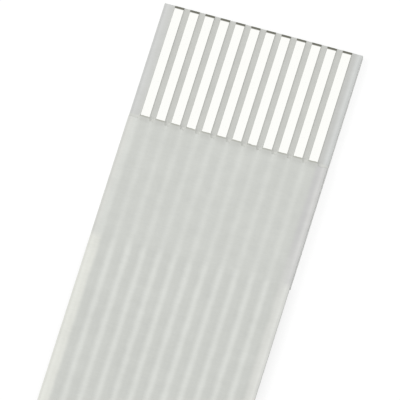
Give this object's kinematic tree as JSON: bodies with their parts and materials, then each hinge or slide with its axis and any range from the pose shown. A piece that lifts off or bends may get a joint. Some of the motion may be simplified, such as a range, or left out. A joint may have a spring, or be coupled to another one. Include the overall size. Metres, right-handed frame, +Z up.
{
  "type": "flat flex cable",
  "caption": "Flat flexible cable: tinned flat conductors between clear films, bare contacts and a stiffener at each end.",
  "frame": {"origin": "centre of the surface that the cable lies on, under its middle", "axes": "+X across the cable, +Y along it towards the near contact end, +Z up, out of the bare contacts"},
  "size_m": [0.0066, 0.05, 0.0003],
  "materials": {
    "tinned_copper": "polished",
    "polyester_film": "satin",
    "stiffener_tape": "satin"
  },
  "bodies": {
    "root": {"near_stiffener": "stiffener_tape", "far_stiffener": "stiffener_tape", "lower_film": "polyester_film", "conductor_01": "tinned_copper", "conductor_02": "tinned_copper", "conductor_03": "tinned_copper", "conductor_04": "tinned_copper", "conductor_05": "tinned_copper", "conductor_06": "tinned_copper", "conductor_07": "tinned_copper", "conductor_08": "tinned_copper", "conductor_09": "tinned_copper", "conductor_10": "tinned_copper", "conductor_11": "tinned_copper", "conductor_12": "tinned_copper", "upper_film": "polyester_film"}
  },
  "joints": []
}
